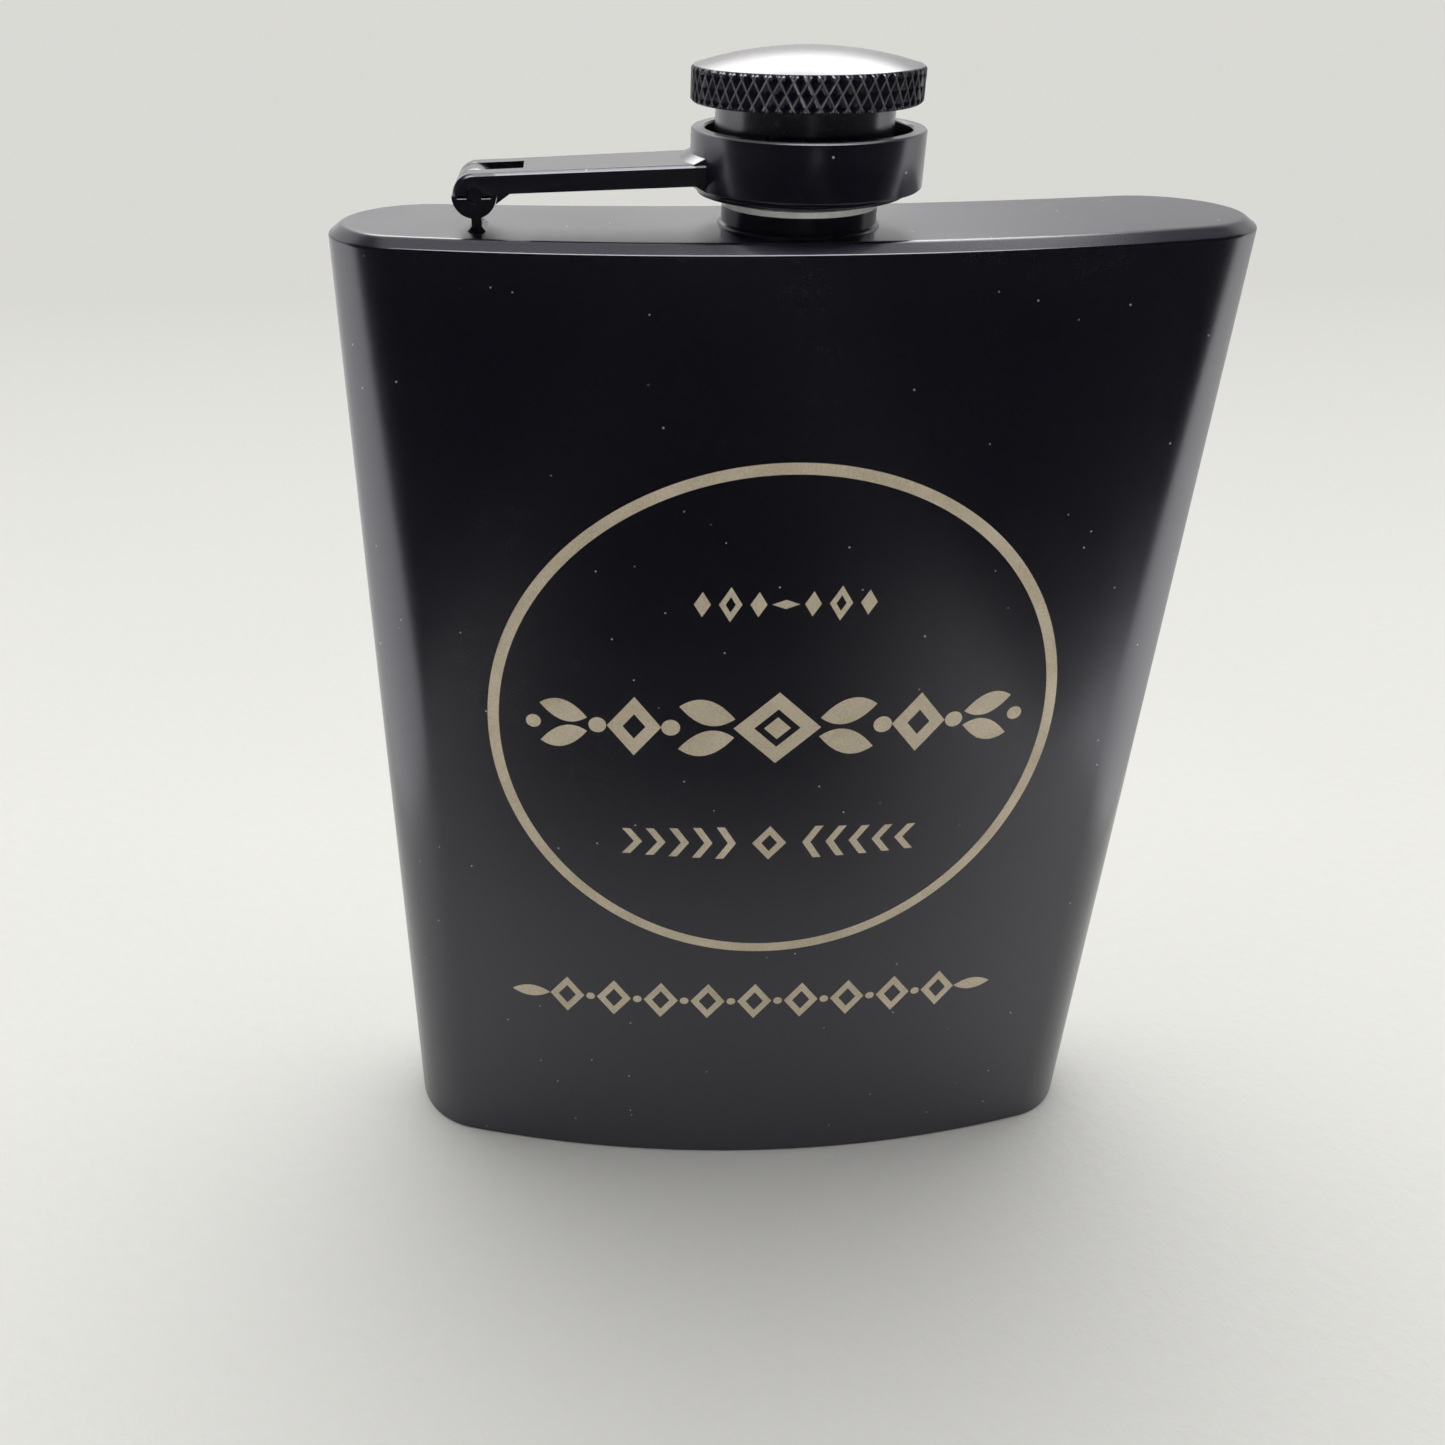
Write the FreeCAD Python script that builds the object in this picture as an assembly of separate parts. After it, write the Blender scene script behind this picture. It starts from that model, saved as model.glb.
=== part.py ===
import FreeCAD, Part
import math
import os

# Hip flask with a captive screw cap, in millimetres.
# +Z is up, +X is along the width, -Y is the convex front and +Y is the hollow back.
# The origin is where the axis of the neck meets the plane that the flask stands on.

V = FreeCAD.Vector
ORIGIN = V(0, 0, 0)
UP = V(0, 0, 1)
ALONG_Y = V(0, 1, 0)

# ---- driving dimensions: the flask body ----
WIDTH_TOP = 95.0
WIDTH_BASE = 91.0
THICKNESS = 21.0            # front to back on the centre line
FRONT_RADIUS = 158.0        # the convex front
END_RADIUS = 9.6            # the rounded narrow sides
WALL = 0.6                  # sheet thickness
WALL_HEIGHT = 121.2         # floor to the lower edge of the shoulder bevel
BEVEL_WIDTH = 1.3
BEVEL_HEIGHT = 0.95
BASE_SHEET = 0.7
SEAM_WIDTH = 1.2            # closing weld of the wrap
GROOVE = 0.3                # how deep the beads at shoulder and base go

# ---- driving dimensions: neck and thread ----
NECK_RADIUS = 7.65
NECK_BORE = 6.0
NECK_LAND_TOP = 125.05      # the smooth part ends here
NECK_TOP = 131.38
NECK_FLANGE_RADIUS = 9.4
NECK_FLANGE_SHEET = 1.2
THREAD_PITCH = 1.5
NECK_CORE = 6.75            # root of the outer thread
NECK_CREST = 7.3
SLEEVE_CREST = 7.72         # crest of the inner thread
SLEEVE_ROOT = 8.15
RIDGE_FOOT = 1.05           # widths of one thread ridge
RIDGE_TIP = 0.35

# ---- driving dimensions: cap ----
SLEEVE_RADIUS = 8.6
SLEEVE_BOTTOM = 125.2
HEAD_BOTTOM = 133.7
HEAD_RADIUS = 11.05
RIM_TOP = 137.0
DOME_TOP = 138.6
HEAD_CHAMFER = 0.25
CAP_CEILING = 134.9
GASKET_SHEET = 1.2
GASKET_RADIUS = 8.0
RUNNING_GAP = 0.05
FLANGE_RADIUS = 10.2
FLANGE_HEIGHT = 0.65

# ---- driving dimensions: captive arm and hinge ----
COLLAR_X = 0.4              # the collar hangs a little off the axis of the cap
COLLAR_RADIUS = 11.3
COLLAR_BOTTOM = 125.9
COLLAR_TOP = 131.35
COLLAR_BORE = 9.95
COLLAR_LIP_BORE = 9.2
COLLAR_LIP_HEIGHT = 1.5
EDGE_BREAK = 0.18
PIN_X = -31.95
PIN_Z = 125.9
PIN_RADIUS = 0.75
PIN_SUNK = 0.25              # the pin's ends lie this deep in their seats
KNUCKLE_RADIUS = 2.05
KEEPER_RADIUS = 2.15
KEEPER_SLIT = 0.16
KEEPER_SEAT = 0.4           # where a keeper touches the fork, at its outer edge
KEEPER_BEVEL = 0.16         # on the outer edge of the slit
ARM_RISE = 0.7              # the arm rises this much from hinge to collar
ARM_THICKNESS = 2.0
ARM_HALF_HINGE = 4.3        # half widths of the arm
ARM_HALF_COLLAR = 4.75
ARM_BEVEL = 0.28
ARM_REACH_IN = 2.0          # the bar runs this far into the collar before the bore is cut
ROOT_REACH = 1.05           # the arm thickens over this length before the collar
ROOT_RISE = 0.55
ROOT_DROP = 0.5
HEEL_REACH = 3.45           # heel under the fork, from the pin
HEEL_DROP = 0.85
HEEL_GAP = 0.05
FORK_HALF_GAP = 2.1
FORK_SLOT_END = -27.2
POST_HALF_WIDTH = 1.95
POST_SHEET = 1.0

# ---- small shared values ----
BEAD_HEIGHT = 0.38          # weld bead round the neck
BEAD_WIDTH = 0.35
POST_BEAD = 0.4             # weld bead round the hinge post
THREAD_FOOTING = 0.05       # a ridge starts this far inside its core, so that both fuse
THREAD_LEAD_IN = 0.1        # plain length before the first turn
LIP = 0.3                   # chamfer at the mouth of the neck
SOFT_EDGE = 0.2             # chamfer of the retaining flange
MARGIN = 1.0                # cutting shapes reach this far past what they cut

SHOULDER_TOP = WALL_HEIGHT + BEVEL_HEIGHT
BAR_END = COLLAR_X - COLLAR_RADIUS + ARM_REACH_IN


def half_width(z):
    """Half width of the outer section at height z: the narrow sides lean outwards."""
    return (WIDTH_BASE + (WIDTH_TOP - WIDTH_BASE) * z / WALL_HEIGHT) / 2


def section(width, inset, z):
    """Closed kidney outline of four tangent arcs, set in from the outer skin by inset."""
    front_centre = V(0, FRONT_RADIUS - THICKNESS / 2, z)
    end_x = width - END_RADIUS
    reach = math.sqrt((FRONT_RADIUS - END_RADIUS) ** 2 - end_x ** 2)
    end_centre = V(end_x, front_centre.y - reach, z)
    drop = end_centre.y - THICKNESS / 2
    back_radius = (end_x ** 2 + drop ** 2 - END_RADIUS ** 2) / (2 * (END_RADIUS + drop))
    back_centre = V(0, THICKNESS / 2 + back_radius, z)

    outwards = (end_centre - front_centre).normalize()
    front_right = front_centre + outwards * (FRONT_RADIUS - inset)
    to_back = (back_centre - end_centre).normalize()
    back_right = end_centre + to_back * (END_RADIUS - inset)
    end_right = V(width - inset, end_centre.y, z)
    front_mid = V(0, inset - THICKNESS / 2, z)
    back_mid = V(0, THICKNESS / 2 - inset, z)

    def mirrored(point):
        return V(-point.x, point.y, point.z)

    arcs = [
        Part.Arc(mirrored(front_right), front_mid, front_right),
        Part.Arc(front_right, end_right, back_right),
        Part.Arc(back_right, back_mid, mirrored(back_right)),
        Part.Arc(mirrored(back_right), mirrored(end_right), mirrored(front_right)),
    ]
    return Part.Wire([arc.toShape() for arc in arcs])


def stack(levels):
    """Solid through (z, inset) levels of the body's section, ruled between each two."""
    solid = None
    for (low_z, low_inset), (high_z, high_inset) in zip(levels, levels[1:]):
        wires = [
            section(half_width(min(low_z, WALL_HEIGHT)), low_inset, low_z),
            section(half_width(min(high_z, WALL_HEIGHT)), high_inset, high_z),
        ]
        layer = Part.makeLoft(wires, True, True)
        solid = layer if solid is None else solid.fuse(layer)
    return solid


def turned(profile, centre_x=0.0):
    """Solid of revolution about a vertical axis, from (radius, z) points or a ready wire."""
    if isinstance(profile, list):
        points = [V(radius, 0, z) for radius, z in profile]
        profile = Part.makePolygon(points + points[:1])
    face = Part.Face(profile)
    solid = face.revolve(ORIGIN, UP, 360)
    solid.translate(V(centre_x, 0, 0))
    return solid


def thread_ridge(foot_radius, tip_radius, bottom, turns):
    """Right-hand helical ridge of trapezoid section, from its foot to its tip radius."""
    helix = Part.makeHelix(THREAD_PITCH, THREAD_PITCH * turns, foot_radius)
    helix.translate(V(0, 0, bottom))
    corners = [
        V(foot_radius, 0, bottom - RIDGE_FOOT / 2),
        V(tip_radius, 0, bottom - RIDGE_TIP / 2),
        V(tip_radius, 0, bottom + RIDGE_TIP / 2),
        V(foot_radius, 0, bottom + RIDGE_FOOT / 2),
    ]
    profile = Part.makePolygon(corners + corners[:1])
    ridge = Part.Wire(helix.Edges).makePipeShell([profile], True, True)
    return ridge


# ---- the flask body ----

def shoulder_step():
    """Ring that takes in the outer half of the wall's top edge, where the shoulder bead lies."""
    low = WALL_HEIGHT - GROOVE
    high = WALL_HEIGHT + MARGIN
    around = stack([(low, -MARGIN), (high, -MARGIN)])
    return around.cut(stack([(low, GROOVE), (high, GROOVE)]))


def flask_body():
    wall_outer = stack([(0, 0), (WALL_HEIGHT, 0)])
    cavity = stack([(0, WALL), (WALL_HEIGHT, WALL)])
    wall = wall_outer.cut(cavity)
    step = shoulder_step()

    seam_box = Part.makeBox(SEAM_WIDTH, THICKNESS, WALL_HEIGHT, V(-SEAM_WIDTH / 2, 0, 0))
    seam = wall.common(seam_box).cut(step)
    wrap = wall.cut(seam_box).cut(step)

    lid = stack([(WALL_HEIGHT, 0), (SHOULDER_TOP, BEVEL_WIDTH)])
    neck_hole = Part.makeCylinder(NECK_RADIUS, BEVEL_HEIGHT, V(0, 0, WALL_HEIGHT))

    # The bottom lies inside the wrap, and the base bead fills the gap round it.
    slab = Part.makeBox(2 * WIDTH_TOP, 2 * WIDTH_TOP, BASE_SHEET, V(-WIDTH_TOP, -WIDTH_TOP, 0))
    floor = stack([(0, WALL + GROOVE), (BASE_SHEET, WALL + GROOVE)])

    return {
        "body_wrap": wrap,
        "wrap_seam_weld": seam,
        "shoulder_plate": lid.cut(neck_hole),
        "shoulder_weld": wall_outer.common(step),
        "base_plate": floor,
        "base_weld": cavity.common(slab).cut(floor),
    }


# ---- the neck ----

def neck():
    relief = NECK_RADIUS - NECK_CORE
    core = turned([
        (NECK_BORE, WALL_HEIGHT - NECK_FLANGE_SHEET),
        (NECK_FLANGE_RADIUS, WALL_HEIGHT - NECK_FLANGE_SHEET),
        (NECK_FLANGE_RADIUS, WALL_HEIGHT),
        (NECK_RADIUS, WALL_HEIGHT),
        (NECK_RADIUS, NECK_LAND_TOP - relief / 2),
        (NECK_CORE, NECK_LAND_TOP),
        (NECK_CORE, NECK_TOP - LIP / 2),
        (NECK_CORE - LIP / 2, NECK_TOP),
        (NECK_BORE, NECK_TOP),
    ])
    first_ridge = NECK_LAND_TOP + RIDGE_FOOT / 2 + THREAD_LEAD_IN
    turns = (NECK_TOP - LIP - RIDGE_FOOT / 2 - first_ridge) / THREAD_PITCH
    ridge = thread_ridge(NECK_CORE - THREAD_FOOTING, NECK_CREST, first_ridge, turns)
    bead = turned([
        (NECK_RADIUS, SHOULDER_TOP),
        (NECK_RADIUS + BEAD_WIDTH, SHOULDER_TOP),
        (NECK_RADIUS + 0.8 * BEAD_WIDTH, SHOULDER_TOP + BEAD_HEIGHT / 2),
        (NECK_RADIUS, SHOULDER_TOP + BEAD_HEIGHT),
    ])
    return {"neck_tube": core.fuse(ridge), "neck_weld": bead}


# ---- the hinge ----

def hinge_post():
    tongue = Part.makeBox(
        POST_SHEET, 2 * POST_HALF_WIDTH, PIN_Z - SHOULDER_TOP,
        V(PIN_X - POST_SHEET / 2, -POST_HALF_WIDTH, SHOULDER_TOP))
    start = V(PIN_X, -POST_HALF_WIDTH, PIN_Z)
    knuckle = Part.makeCylinder(KNUCKLE_RADIUS, 2 * POST_HALF_WIDTH, start, ALONG_Y)
    bore = Part.makeCylinder(PIN_RADIUS + RUNNING_GAP, 2 * POST_HALF_WIDTH, start, ALONG_Y)
    post = tongue.fuse(knuckle).cut(bore)

    def outline(grow, z):
        x_far = POST_SHEET / 2 + grow
        y_far = POST_HALF_WIDTH + grow
        corners = [
            V(PIN_X - x_far, -y_far, z),
            V(PIN_X + x_far, -y_far, z),
            V(PIN_X + x_far, y_far, z),
            V(PIN_X - x_far, y_far, z),
        ]
        return Part.makePolygon(corners + corners[:1])

    foot = outline(POST_BEAD, SHOULDER_TOP)
    edge = outline(POST_BEAD / 20, SHOULDER_TOP + POST_BEAD)
    skirt = Part.makeLoft([foot, edge], True, True)
    return {"hinge_post": post, "hinge_post_weld": skirt.cut(tongue)}


def bar_top(x):
    """Height of the bar's top face at x."""
    return PIN_Z + KNUCKLE_RADIUS + ARM_RISE * (x - PIN_X) / (BAR_END - PIN_X)


def arm_bar():
    """The straight bar from fork to collar: rounded over the pin, with a slanted heel behind it."""
    top_left = V(PIN_X, 0, bar_top(PIN_X))
    top_right = V(BAR_END, 0, bar_top(BAR_END))
    low_right = top_right - V(0, 0, ARM_THICKNESS)
    heel_x = PIN_X + HEEL_REACH
    heel_start = V(heel_x, 0, bar_top(heel_x) - ARM_THICKNESS)
    rim = KEEPER_RADIUS + HEEL_GAP
    wrap = math.asin(HEEL_DROP / rim)
    heel_toe = V(PIN_X + rim * math.cos(wrap), 0, PIN_Z - rim * math.sin(wrap))
    heel_middle = V(PIN_X + rim * math.cos(wrap / 2), 0, PIN_Z - rim * math.sin(wrap / 2))
    heel_top = V(PIN_X + rim, 0, PIN_Z)
    nose = V(PIN_X - KNUCKLE_RADIUS, 0, PIN_Z)
    slant = KNUCKLE_RADIUS * math.sqrt(0.5)
    edges = [
        Part.Arc(nose, V(PIN_X - slant, 0, PIN_Z + slant), top_left).toShape(),
        Part.LineSegment(top_left, top_right).toShape(),
        Part.LineSegment(top_right, low_right).toShape(),
        Part.LineSegment(low_right, heel_start).toShape(),
        Part.LineSegment(heel_start, heel_toe).toShape(),
        Part.Arc(heel_toe, heel_middle, heel_top).toShape(),
        Part.LineSegment(heel_top, nose).toShape(),
    ]
    reach = 2 * COLLAR_RADIUS
    side = Part.Face(Part.Wire(edges)).extrude(V(0, reach, 0))
    side.translate(V(0, -reach / 2, 0))

    half_outline = [
        (PIN_X - 2 * KNUCKLE_RADIUS, ARM_HALF_HINGE),
        (PIN_X + KNUCKLE_RADIUS, ARM_HALF_HINGE),
        (COLLAR_X - COLLAR_RADIUS, ARM_HALF_COLLAR),
        (BAR_END, ARM_HALF_COLLAR),
    ]
    far_side = [V(x, y, 0) for x, y in half_outline]
    near_side = [V(x, -y, 0) for x, y in reversed(half_outline)]
    plan = Part.makePolygon(far_side + near_side + far_side[:1])
    column = Part.Face(plan).extrude(V(0, 0, 2 * PIN_Z))
    bar = side.common(column)

    def is_top_side_edge(edge):
        middle = edge.CenterOfMass
        straight = isinstance(edge.Curve, (Part.Line, Part.LineSegment))
        outer = abs(middle.y) > ARM_HALF_HINGE - EDGE_BREAK
        above = middle.z > PIN_Z + ARM_THICKNESS - EDGE_BREAK
        return straight and outer and above and edge.Length > ARM_THICKNESS

    top_edges = [edge for edge in bar.Edges if is_top_side_edge(edge)]
    return bar.makeChamfer(ARM_BEVEL, top_edges)


def arm_root():
    """Conical swell, above and below the bar, where it grows out of the collar."""
    start = COLLAR_RADIUS + ROOT_REACH
    top = bar_top(COLLAR_X - start)
    bottom = top - ARM_THICKNESS
    inside = (COLLAR_BORE + COLLAR_RADIUS) / 2
    swell = turned([
        (inside, bottom - ROOT_DROP),
        (COLLAR_RADIUS, bottom - ROOT_DROP),
        (start, bottom + EDGE_BREAK),
        (start, top),
        (COLLAR_RADIUS, top + ROOT_RISE),
        (inside, top + ROOT_RISE),
    ], COLLAR_X)
    width = ARM_HALF_COLLAR - ARM_BEVEL / 2
    side = Part.makeBox(
        2 * COLLAR_RADIUS, 2 * width, COLLAR_TOP, V(COLLAR_X - 2 * COLLAR_RADIUS, -width, 0))
    return swell.common(side)


def captive_arm():
    collar = turned([
        (COLLAR_LIP_BORE, COLLAR_BOTTOM),
        (COLLAR_RADIUS - EDGE_BREAK, COLLAR_BOTTOM),
        (COLLAR_RADIUS, COLLAR_BOTTOM + EDGE_BREAK),
        (COLLAR_RADIUS, COLLAR_TOP - EDGE_BREAK),
        (COLLAR_RADIUS - EDGE_BREAK, COLLAR_TOP),
        (COLLAR_BORE + EDGE_BREAK, COLLAR_TOP),
        (COLLAR_BORE, COLLAR_TOP - EDGE_BREAK),
        (COLLAR_BORE, COLLAR_BOTTOM + COLLAR_LIP_HEIGHT),
        (COLLAR_LIP_BORE, COLLAR_BOTTOM + COLLAR_LIP_HEIGHT),
    ], COLLAR_X)
    inside = Part.makeCylinder(
        COLLAR_BORE + EDGE_BREAK, COLLAR_TOP - COLLAR_BOTTOM, V(COLLAR_X, 0, COLLAR_BOTTOM))
    bar = arm_bar().cut(inside)

    fork_left = PIN_X - 2 * KNUCKLE_RADIUS
    fork_gap = Part.makeBox(
        FORK_SLOT_END - fork_left, 2 * FORK_HALF_GAP, 3 * KNUCKLE_RADIUS,
        V(fork_left, -FORK_HALF_GAP, PIN_Z - KNUCKLE_RADIUS))
    start = V(PIN_X, -ARM_HALF_HINGE, PIN_Z)
    pin_seat = Part.makeCylinder(PIN_RADIUS, 2 * ARM_HALF_HINGE, start, ALONG_Y)
    return collar.fuse(bar.cut(fork_gap).cut(pin_seat)).fuse(arm_root()).removeSplitter()


def hinge_keeper(inner_y, outer_y):
    """Half disc under one cheek of the fork: it touches the cheek only near its rim."""
    start = V(PIN_X, min(inner_y, outer_y), PIN_Z)
    depth = abs(outer_y - inner_y)
    disc = Part.makeCylinder(KEEPER_RADIUS, depth, start, ALONG_Y)
    reach = 2 * KEEPER_RADIUS
    lower = Part.makeBox(2 * reach, depth, reach, start - V(reach, 0, reach))

    # The slit opens outwards, where its lower edge is bevelled.
    slit_reach = KNUCKLE_RADIUS - KEEPER_SEAT
    bevel_y = outer_y - math.copysign(KEEPER_BEVEL, outer_y)
    outline = [
        V(PIN_X - slit_reach, inner_y, PIN_Z),
        V(PIN_X - slit_reach, outer_y, PIN_Z),
        V(PIN_X - slit_reach, outer_y, PIN_Z - KEEPER_SLIT - KEEPER_BEVEL),
        V(PIN_X - slit_reach, bevel_y, PIN_Z - KEEPER_SLIT),
        V(PIN_X - slit_reach, inner_y, PIN_Z - KEEPER_SLIT),
    ]
    slit = Part.Face(Part.makePolygon(outline + outline[:1])).extrude(V(2 * slit_reach, 0, 0))
    pin_seat = Part.makeCylinder(PIN_RADIUS, depth, start, ALONG_Y)
    return disc.common(lower).cut(slit).cut(pin_seat)


def arm_parts():
    half_pin = ARM_HALF_HINGE - PIN_SUNK
    start = V(PIN_X, -half_pin, PIN_Z)
    return {
        "captive_arm": captive_arm(),
        "hinge_pin": Part.makeCylinder(PIN_RADIUS, 2 * half_pin, start, ALONG_Y),
        "hinge_keeper_front": hinge_keeper(-FORK_HALF_GAP, -ARM_HALF_HINGE),
        "hinge_keeper_rear": hinge_keeper(FORK_HALF_GAP, ARM_HALF_HINGE),
    }


# ---- the cap ----

def cap_head():
    rim_radius = HEAD_RADIUS - HEAD_CHAMFER
    rise = DOME_TOP - RIM_TOP
    dome_radius = (rim_radius ** 2 + rise ** 2) / (2 * rise)
    half_way = rim_radius / 2
    half_z = DOME_TOP - dome_radius + math.sqrt(dome_radius ** 2 - half_way ** 2)
    straight = [
        V(0, 0, DOME_TOP),
        V(0, 0, CAP_CEILING),
        V(SLEEVE_RADIUS, 0, CAP_CEILING),
        V(SLEEVE_RADIUS, 0, HEAD_BOTTOM),
        V(HEAD_RADIUS - HEAD_CHAMFER, 0, HEAD_BOTTOM),
        V(HEAD_RADIUS, 0, HEAD_BOTTOM + HEAD_CHAMFER),
        V(HEAD_RADIUS, 0, RIM_TOP - HEAD_CHAMFER),
        V(rim_radius, 0, RIM_TOP),
    ]
    edges = [Part.LineSegment(a, b).toShape() for a, b in zip(straight, straight[1:])]
    edges.append(Part.Arc(straight[-1], V(half_way, 0, half_z), straight[0]).toShape())
    return turned(Part.Wire(edges))


def cap_sleeve():
    tube = turned([
        (SLEEVE_ROOT, SLEEVE_BOTTOM),
        (SLEEVE_RADIUS, SLEEVE_BOTTOM),
        (SLEEVE_RADIUS, CAP_CEILING),
        (SLEEVE_ROOT, CAP_CEILING),
    ])
    first_ridge = SLEEVE_BOTTOM + RIDGE_FOOT / 2 + THREAD_LEAD_IN
    last_ridge = CAP_CEILING - GASKET_SHEET - RIDGE_FOOT - RIDGE_FOOT / 2
    turns = (last_ridge - first_ridge) / THREAD_PITCH
    ridge = thread_ridge(SLEEVE_ROOT + THREAD_FOOTING, SLEEVE_CREST, first_ridge, turns)
    return tube.fuse(ridge)


def cap_parts():
    flange_top = SLEEVE_BOTTOM + FLANGE_HEIGHT
    flange = turned([
        (SLEEVE_RADIUS, SLEEVE_BOTTOM),
        (FLANGE_RADIUS - SOFT_EDGE, SLEEVE_BOTTOM),
        (FLANGE_RADIUS, SLEEVE_BOTTOM + SOFT_EDGE),
        (FLANGE_RADIUS, flange_top - SOFT_EDGE),
        (FLANGE_RADIUS - SOFT_EDGE, flange_top),
        (SLEEVE_RADIUS, flange_top),
    ])
    gasket_bottom = CAP_CEILING - RUNNING_GAP - GASKET_SHEET
    return {
        "cap_head": cap_head(),
        "cap_sleeve": cap_sleeve(),
        "cap_retaining_flange": flange,
        "cap_gasket": Part.makeCylinder(GASKET_RADIUS, GASKET_SHEET, V(0, 0, gasket_bottom)),
    }


def main():
    os.makedirs("parts", exist_ok=True)
    nodes = {}
    for group in (flask_body(), neck(), hinge_post(), arm_parts(), cap_parts()):
        nodes.update(group)
    for name, shape in nodes.items():
        solids = shape.Solids
        clean = solids[0] if len(solids) == 1 else Part.makeCompound(solids)
        print(name, "solids", len(solids), "valid", clean.isValid(), "mm3", round(clean.Volume, 2))
        clean.exportStep("parts/" + name + ".step")


main()
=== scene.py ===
import math

import bmesh
import bpy
from mathutils import Matrix, Vector

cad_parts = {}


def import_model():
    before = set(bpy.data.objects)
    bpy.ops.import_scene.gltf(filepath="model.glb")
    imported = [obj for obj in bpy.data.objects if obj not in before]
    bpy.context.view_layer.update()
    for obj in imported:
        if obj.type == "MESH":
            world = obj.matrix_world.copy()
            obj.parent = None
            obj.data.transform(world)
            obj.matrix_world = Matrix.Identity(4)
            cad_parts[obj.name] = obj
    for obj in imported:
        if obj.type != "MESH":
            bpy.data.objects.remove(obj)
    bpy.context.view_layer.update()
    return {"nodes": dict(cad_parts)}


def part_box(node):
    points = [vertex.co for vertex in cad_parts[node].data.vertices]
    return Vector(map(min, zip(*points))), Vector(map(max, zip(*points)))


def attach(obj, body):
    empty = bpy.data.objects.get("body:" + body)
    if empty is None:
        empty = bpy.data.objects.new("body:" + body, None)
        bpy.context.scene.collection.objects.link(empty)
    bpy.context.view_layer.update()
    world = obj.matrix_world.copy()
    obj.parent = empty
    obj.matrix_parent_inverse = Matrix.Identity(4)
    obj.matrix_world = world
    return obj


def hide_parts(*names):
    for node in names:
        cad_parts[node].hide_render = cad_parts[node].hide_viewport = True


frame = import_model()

# Looks of the hip flask. Lengths are in millimetres until a mesh is made, then in metres.
MM = 0.001


def box_mm(node):
    low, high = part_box(node)
    return low / MM, high / MM


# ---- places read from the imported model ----
wrap_low, _ = box_mm("body_wrap")
_, base_high = box_mm("base_plate")
_, seam_high = box_mm("wrap_seam_weld")
bead_low, _ = box_mm("shoulder_weld")
plate_low, plate_high = box_mm("shoulder_plate")
_, neck_bead_high = box_mm("neck_weld")
head_low, head_high = box_mm("cap_head")
_, sleeve_high = box_mm("cap_sleeve")
flange_low, flange_high = box_mm("cap_retaining_flange")

NECK_HOLE = (neck_bead_high.x + neck_bead_high.y) / 2 - 0.35    # radius, just under the neck's weld bead
HEAD_RADIUS = (head_high.x + head_high.y) / 2
SLEEVE_RADIUS = (sleeve_high.x + sleeve_high.y) / 2
FLANGE_RADIUS = (flange_high.x + flange_high.y) / 2

# ---- shape of the body's section ----
FRONT_RADIUS = 158.0    # the convex front
END_RADIUS = 9.6        # the rounded ends
WALL = 0.6              # the sheet's thickness
GROOVE = 0.3            # how deep the weld beads reach into the sheet
THICKNESS = 2 * -wrap_low.y
HALF_TOP = plate_high.x
HALF_BASE = base_high.x + WALL + GROOVE
WALL_TOP = plate_low.z
SHOULDER_TOP = plate_high.z
BEVEL_WIDTH = 1.3       # the bevel round the shoulder plate


# ---- small helpers ----

def section_arcs(half_width):
    """The kidney outline as arcs (centre x, centre y, radius, side, start, end), anticlockwise from above."""
    front_y = FRONT_RADIUS - THICKNESS / 2
    end_x = half_width - END_RADIUS
    end_y = front_y - math.sqrt((FRONT_RADIUS - END_RADIUS) ** 2 - end_x ** 2)
    drop = end_y - THICKNESS / 2
    back_radius = (end_x ** 2 + drop ** 2 - END_RADIUS ** 2) / (2 * (END_RADIUS + drop))
    back_y = THICKNESS / 2 + back_radius
    lean_front = math.asin(end_x / (FRONT_RADIUS - END_RADIUS))
    lean_back = math.asin(end_x / (back_radius + END_RADIUS))
    down, up = -math.pi / 2, math.pi / 2
    return [
        (0, front_y, FRONT_RADIUS, 1, down, down + lean_front),
        (end_x, end_y, END_RADIUS, 1, down + lean_front, up + lean_back),
        (0, back_y, back_radius, -1, up + lean_back, up - lean_back),
        (-end_x, end_y, END_RADIUS, 1, up - lean_back, 2 * math.pi + down - lean_front),
        (0, front_y, FRONT_RADIUS, 1, down - lean_front, down),
    ]


ARC_STEPS = (90, 44, 180, 44, 90)    # points on each arc of section_arcs


def outline(half_width, inset):
    """Points round the section, set in from the outer skin. The back arc's normal points inwards."""
    points = []
    for (cx, cy, radius, side, start, end), steps in zip(section_arcs(half_width), ARC_STEPS):
        reach = radius - side * inset
        for i in range(steps):
            angle = start + (end - start) * (i / steps)
            points.append((cx + side * reach * math.cos(angle), cy + side * reach * math.sin(angle)))
    return points


def half_width_at(z):
    """The body widens evenly from its foot to the top of the wall."""
    return HALF_BASE + (HALF_TOP - HALF_BASE) * min(z, WALL_TOP) / WALL_TOP


def level(z, inset):
    """The outline at one height."""
    return [(x, y, z) for x, y in outline(half_width_at(z), inset)]


STRAIGHT = 0.01     # a corner flatter than this, in radians, isn't rounded


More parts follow.
